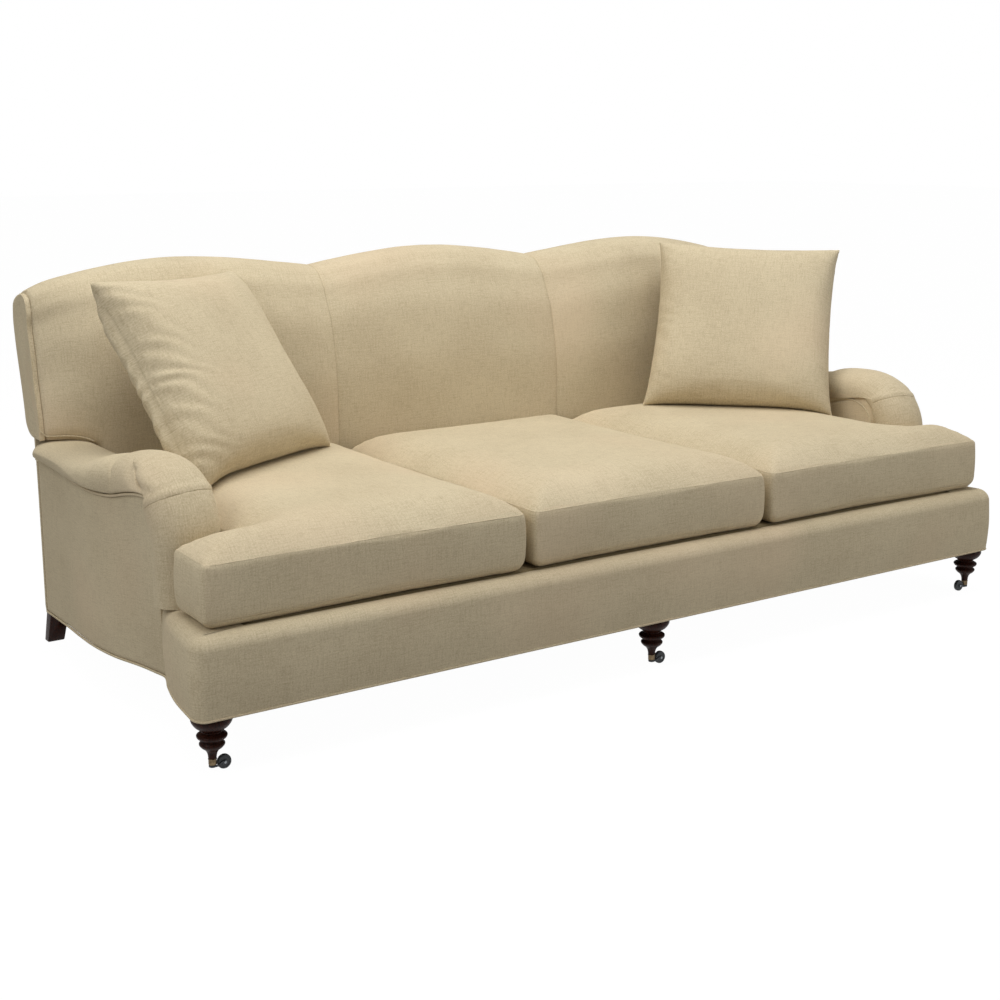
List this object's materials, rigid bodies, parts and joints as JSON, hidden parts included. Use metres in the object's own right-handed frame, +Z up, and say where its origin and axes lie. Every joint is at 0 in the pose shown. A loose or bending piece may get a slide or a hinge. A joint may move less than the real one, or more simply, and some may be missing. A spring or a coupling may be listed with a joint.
{
  "type": "camelback sofa",
  "caption": "camelback sofa in plain linen with low rolled arms, loose seat cushions, throw pillows, a hardwood frame, and turned front legs on small swivel casters",
  "frame": {"origin": "on the floor, under the middle of the sofa's bounding box", "axes": "+X runs to the right as seen from the front, along the seat; +Y runs from the front to the back; +Z is up"},
  "size_m": [2.3102, 1.122, 0.921],
  "materials": {
    "linen": "matte plain-weave linen with a fine slub",
    "platform_cloth": "matte platform cloth",
    "black_cambric": "matte thin cloth",
    "frame_hardwood": "planed, unfinished",
    "walnut": "dark stain, satin lacquer",
    "spring_steel": "drawn wire, bright",
    "aged_brass": "aged, polished by wear",
    "caster_iron": "dark, satin",
    "wheel_rubber": "dark grey, satin"
  },
  "bodies": {
    "sofa_frame": {"front_rail": "frame_hardwood", "back_rail": "frame_hardwood", "side_rail_left": "frame_hardwood", "side_rail_right": "frame_hardwood", "seat_stretcher_left": "frame_hardwood", "seat_stretcher_right": "frame_hardwood", "back_post_left": "frame_hardwood", "back_post_right": "frame_hardwood", "back_upright_left": "frame_hardwood", "back_upright_right": "frame_hardwood", "camel_top_rail": "frame_hardwood", "arm_post_left": "frame_hardwood", "arm_post_right": "frame_hardwood", "arm_board_left": "frame_hardwood", "arm_board_right": "frame_hardwood", "seat_springs": "spring_steel", "back_springs": "spring_steel", "front_border": "linen", "outside_arm_left": "linen", "outside_arm_right": "linen", "inside_arm_left": "linen", "inside_arm_right": "linen", "arm_roll_left": "linen", "arm_roll_right": "linen", "arm_front_left": "linen", "arm_front_right": "linen", "inside_back_centre": "linen", "inside_back_left": "linen", "inside_back_right": "linen", "outside_back": "linen", "wing_end_left": "linen", "wing_end_right": "linen", "seat_deck": "platform_cloth", "dust_cover": "black_cambric", "back_leg_left": "walnut", "back_leg_centre": "walnut", "back_leg_right": "walnut", "front_leg_left": "walnut", "leg_stud_left": "spring_steel", "caster_ferrule_left": "aged_brass", "front_leg_centre": "walnut", "leg_stud_centre": "spring_steel", "caster_ferrule_centre": "aged_brass", "front_leg_right": "walnut", "leg_stud_right": "spring_steel", "caster_ferrule_right": "aged_brass"},
    "caster_swivel_left": {"caster_fork_left": "caster_iron", "caster_axle_left": "spring_steel"},
    "wheel_left": {"caster_wheel_left": "wheel_rubber"},
    "caster_swivel_centre": {"caster_fork_centre": "caster_iron", "caster_axle_centre": "spring_steel"},
    "wheel_centre": {"caster_wheel_centre": "wheel_rubber"},
    "caster_swivel_right": {"caster_fork_right": "caster_iron", "caster_axle_right": "spring_steel"},
    "wheel_right": {"caster_wheel_right": "wheel_rubber"},
    "cushion_left": {"seat_cushion_left": "linen"},
    "cushion_centre": {"seat_cushion_centre": "linen"},
    "cushion_right": {"seat_cushion_right": "linen"},
    "pillow_left": {"throw_pillow_left": "linen"},
    "pillow_right": {"throw_pillow_right": "linen"}
  },
  "joints": [
    {"name": "caster_turn_left", "type": "hinge", "parent": "sofa_frame", "child": "caster_swivel_left", "pos_m": [-1.1, -0.51298, 0.013], "axis": [0, 0, 1], "continuous": true},
    {"name": "wheel_roll_left", "type": "hinge", "parent": "caster_swivel_left", "child": "wheel_left", "pos_m": [-1.076, -0.51298, 0.0145], "axis": [0, 1, 0], "continuous": true},
    {"name": "caster_turn_centre", "type": "hinge", "parent": "sofa_frame", "child": "caster_swivel_centre", "pos_m": [0, -0.51298, 0.013], "axis": [0, 0, 1], "continuous": true},
    {"name": "wheel_roll_centre", "type": "hinge", "parent": "caster_swivel_centre", "child": "wheel_centre", "pos_m": [0.024, -0.51298, 0.0145], "axis": [0, 1, 0], "continuous": true},
    {"name": "caster_turn_right", "type": "hinge", "parent": "sofa_frame", "child": "caster_swivel_right", "pos_m": [1.1, -0.51298, 0.013], "axis": [0, 0, 1], "continuous": true},
    {"name": "wheel_roll_right", "type": "hinge", "parent": "caster_swivel_right", "child": "wheel_right", "pos_m": [1.076, -0.51298, 0.0145], "axis": [0, 1, 0], "continuous": true},
    {"name": "cushion_draw_left", "type": "slide", "parent": "sofa_frame", "child": "cushion_left", "axis": [0, -0.9962, 0.0872], "range_m": [0, 0.3]},
    {"name": "cushion_draw_centre", "type": "slide", "parent": "sofa_frame", "child": "cushion_centre", "axis": [0, -0.9962, 0.0872], "range_m": [0, 0.3]},
    {"name": "cushion_draw_right", "type": "slide", "parent": "sofa_frame", "child": "cushion_right", "axis": [0, -0.9962, 0.0872], "range_m": [0, 0.3]},
    {"name": "pillow_lift_left", "type": "slide", "parent": "cushion_left", "child": "pillow_left", "axis": [0, 0, 1], "range_m": [0, 0.35]},
    {"name": "pillow_lift_right", "type": "slide", "parent": "cushion_right", "child": "pillow_right", "axis": [0, 0, 1], "range_m": [0, 0.35]}
  ]
}
